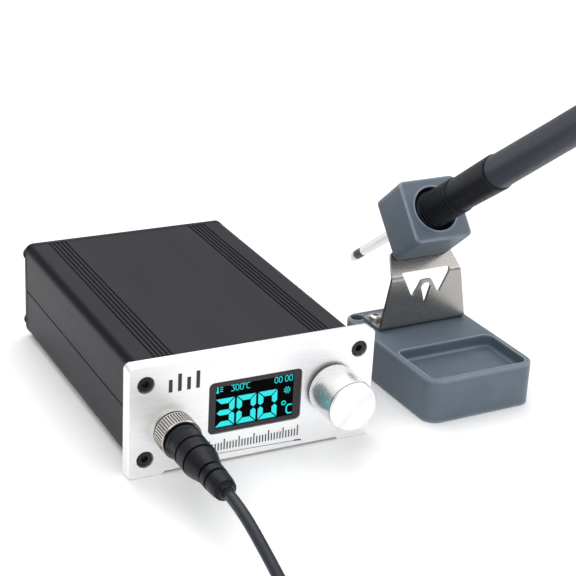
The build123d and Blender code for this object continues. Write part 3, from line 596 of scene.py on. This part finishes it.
def seven_segments(lit, x, z, w, h, t, gap):
    """Outlines of a seven-segment figure with mitred bars; lit names its bars from "abcdefg"."""
    g, m, half = gap / 2, h / 2, t * 0.55
    bars = {
        "a": [(g, h), (w - g, h), (w - t - g, h - t), (t + g, h - t)],
        "b": [(w, h - g), (w, m + half), (w - t * 0.45, m + g), (w - t, m + half), (w - t, h - t - g)],
        "c": [(w, g), (w - t, t + g), (w - t, m - half), (w - t * 0.45, m - g), (w, m - half)],
        "d": [(g, 0), (t + g, t), (w - t - g, t), (w - g, 0)],
        "e": [(0, g), (0, m - half), (t * 0.45, m - g), (t, m - half), (t, t + g)],
        "f": [(0, h - g), (t, h - t - g), (t, m + half), (t * 0.45, m + g), (0, m + half)],
        "g": [(t * 0.35, m), (t * 0.9, m + t / 2), (w - t - g, m + t / 2), (w - t * 0.55, m),
              (w - t - g, m - t / 2), (t * 0.9, m - t / 2)],
    }
    return [[(x + px, z + pz) for px, pz in bars[name]] for name in lit]


figure_bars = {"0": "abcdef", "3": "abcdg"}
big_w, big_h, big_t, big_gap, big_pitch, big_x, big_z = 7.5, 11.0, 2.05, 0.55, 8.35, -14.7, 13.8
big = []
for k, figure in enumerate("300"):
    big += seven_segments(figure_bars[figure], big_x + k * big_pitch, big_z, big_w, big_h, big_t, big_gap)

thin = 0.26                                             # line width of the small figures


def small_zero(x, z, w=1.15, h=2.2):
    return stroke([(x + 0.3, z), (x + w - 0.3, z), (x + w, z + 0.4), (x + w, z + h - 0.4),
                   (x + w - 0.3, z + h), (x + 0.3, z + h), (x, z + h - 0.4), (x, z + 0.4)], thin, True)


def small_three(x, z, w=1.15, h=2.2):
    return stroke([(x, z + h), (x + w, z + h), (x + 0.5 * w, z + 0.6 * h), (x + w, z + 0.4 * h),
                   (x + w, z + 0.15 * h), (x + 0.7 * w, z), (x, z)], thin)


def letter_c(x, z, w, h, width):
    return stroke([(x + w, z + h), (x + 0.35 * w, z + h), (x, z + 0.75 * h), (x, z + 0.25 * h),
                   (x + 0.35 * w, z), (x + w, z)], width)


row_z, gauge_x = 27.25, -13.9                           # foot of the display's top row, its thermometer
small = stroke([(gauge_x, row_z + 0.3), (gauge_x, row_z + 2.1)], 0.5)
small += [ring(gauge_x, row_z + 0.35, 0.52)]
for k in range(3):
    bar_z = row_z + 0.5 + 0.75 * k
    small += stroke([(gauge_x + 1.0, bar_z), (gauge_x + 1.9, bar_z)], thin)
small += small_three(-8.6, row_z) + small_zero(-6.9, row_z) + small_zero(-5.2, row_z)
small += stroke(ring(-3.4, row_z + 2.0, 0.35, 8), 0.22, True) + letter_c(-2.7, row_z, 1.1, 2.2, thin)
for x in (8.3, 10.0, 12.4, 14.1):
    small += small_zero(x, row_z)
sun_x, sun_z, rays, ray_from, ray_to = 13.4, 23.7, 8, 1.05, 1.3
small += stroke(ring(sun_x, sun_z, 0.85, 12), 0.24, True) + [ring(sun_x, sun_z, 0.32, 8)]
for k in range(rays):
    a = 2 * pi * (k + 0.5) / rays
    small += stroke([(sun_x + r * cos(a), sun_z + r * sin(a)) for r in (ray_from, ray_to)], thin)
unit_sign = stroke(ring(12.2, 18.7, 0.72, 14), 0.42, True) + letter_c(13.4, 14.25, 1.9, 3.4, 0.55)

lit = Paint("figures_cyan", (0.0, 0.02, 0.02), 0.4)
pixels = lit.node("ShaderNodeTexChecker")
pixels.inputs["Scale"].default_value = 4500.0
lit.link(lit.place(), pixels.inputs["Vector"])
glow = lit.node("ShaderNodeMapRange")
glow.inputs["To Min"].default_value, glow.inputs["To Max"].default_value = 0.92, 1.05
lit.link(pixels.outputs["Fac"], glow.inputs["Value"])
lit.link(glow.outputs["Result"], lit.shader.inputs["Emission Strength"])
lit.put("Emission Color", (0.0, 0.78, 0.80, 1))
paints["figures_cyan"] = lit.material
figures_y = glass_face_y - 0.01 * MM                    # just clear of the glass
marks("display_big_figures", big, figures_y, "figures_cyan")
marks("display_small_figures", small + unit_sign, figures_y, "figures_cyan")

ink = Paint("print_dark", (0.035, 0.036, 0.042), 0.5)
ink.tint(ink.noise(ink.place(), 3000.0), (0.014, 0.014, 0.016), (0.028, 0.028, 0.031))
paints["print_dark"] = ink.material
scale_x, scale_z, tick_pitch, tick_count = -17.0, 5.4, 1.16, 31     # a plain scale below the display
long_tick, short_tick = 9.2, 7.8                        # their tops
printed = []
for k in range(tick_count):
    x = scale_x + tick_pitch * k
    printed += stroke([(x, scale_z), (x, long_tick if k % 5 == 0 else short_tick)], 0.50)
printed += stroke([(-14.6, 4.0), (19.4, 3.05)], 0.22)
printed += [[(16.6, 2.95), (19.5, 2.75), (19.5, 3.25), (16.6, 3.55)]]
bars_x, bars_z, bar_pitch = -32.2, 32.2, 3.4            # four plain bars at the upper left
for k, tall in enumerate((3.4, 5.2, 3.4, 5.2)):
    x = bars_x + bar_pitch * k
    printed += stroke([(x, bars_z), (x, bars_z + tall)], 1.4)
marks("panel_print", printed, front_y, "print_dark")


# ---------------------------------------------------------------- floor and light
def lay_floor():
    """A pale floor too large for its edge to show."""
    bm = bmesh.new()
    bmesh.ops.create_grid(bm, x_segments=1, y_segments=1, size=6.0)
    mesh = bpy.data.meshes.new("floor")
    bm.to_mesh(mesh)
    bm.free()
    floor = bpy.data.objects.new("floor", mesh)
    floor.location = (0, 0, floor_z)
    bpy.context.collection.objects.link(floor)
    white = Paint("floor_white", (0.93, 0.93, 0.93), 0.6)
    white.rough(white.noise(white.place(), 30.0), 0.57, 0.63)
    mesh.materials.append(white.material)


def area_light(name, place, aim, size, power):
    data = bpy.data.lights.new(name, "AREA")
    data.shape = "RECTANGLE"
    data.size, data.size_y = size
    data.energy = power
    lamp = bpy.data.objects.new(name, data)
    lamp.location = place
    lamp.rotation_euler = (Vector(aim) - Vector(place)).to_track_quat("-Z", "Y").to_euler()
    bpy.context.collection.objects.link(lamp)


def studio_world():
    """Soft surroundings, shaded by height: pale at the horizon, darker above it, white overhead."""
    world = bpy.data.worlds.new("studio")
    world.use_nodes = True
    sky = world.node_tree
    heading = sky.nodes.new("ShaderNodeTexCoord")
    height = sky.nodes.new("ShaderNodeSeparateXYZ")
    sky.links.new(heading.outputs["Generated"], height.inputs["Vector"])
    shade_by_height = sky.nodes.new("ShaderNodeValToRGB")
    ramp = shade_by_height.color_ramp.elements
    for element, level in zip(ramp, (0.80, 1.0)):
        element.color = (level, level, level, 1)
    ramp[1].position = 0.60
    for position, level in ((0.12, 0.34), (0.42, 0.34)):
        ramp.new(position).color = (level, level, level, 1)
    sky.links.new(height.outputs["Z"], shade_by_height.inputs["Fac"])
    background = sky.nodes["Background"]
    sky.links.new(shade_by_height.outputs["Color"], background.inputs["Color"])
    background.inputs["Strength"].default_value = 1.10
    bpy.context.scene.world = world


lay_floor()
area_light("key", (-0.9, -0.5, 1.2), (0, 0, 0), (0.9, 0.9), 4.5)
area_light("fill", (1.2, -0.75, 0.9), (0, 0, 0), (0.8, 0.6), 3)
area_light("front", (0.2, -1.5, 0.35), (0, 0, 0.03), (1.2, 0.5), 3)
area_light("top", (0.1, 0.6, 1.35), (0, 0, 0), (1.2, 1.2), 9)
studio_world()
bpy.context.scene.view_settings.view_transform = "Standard"
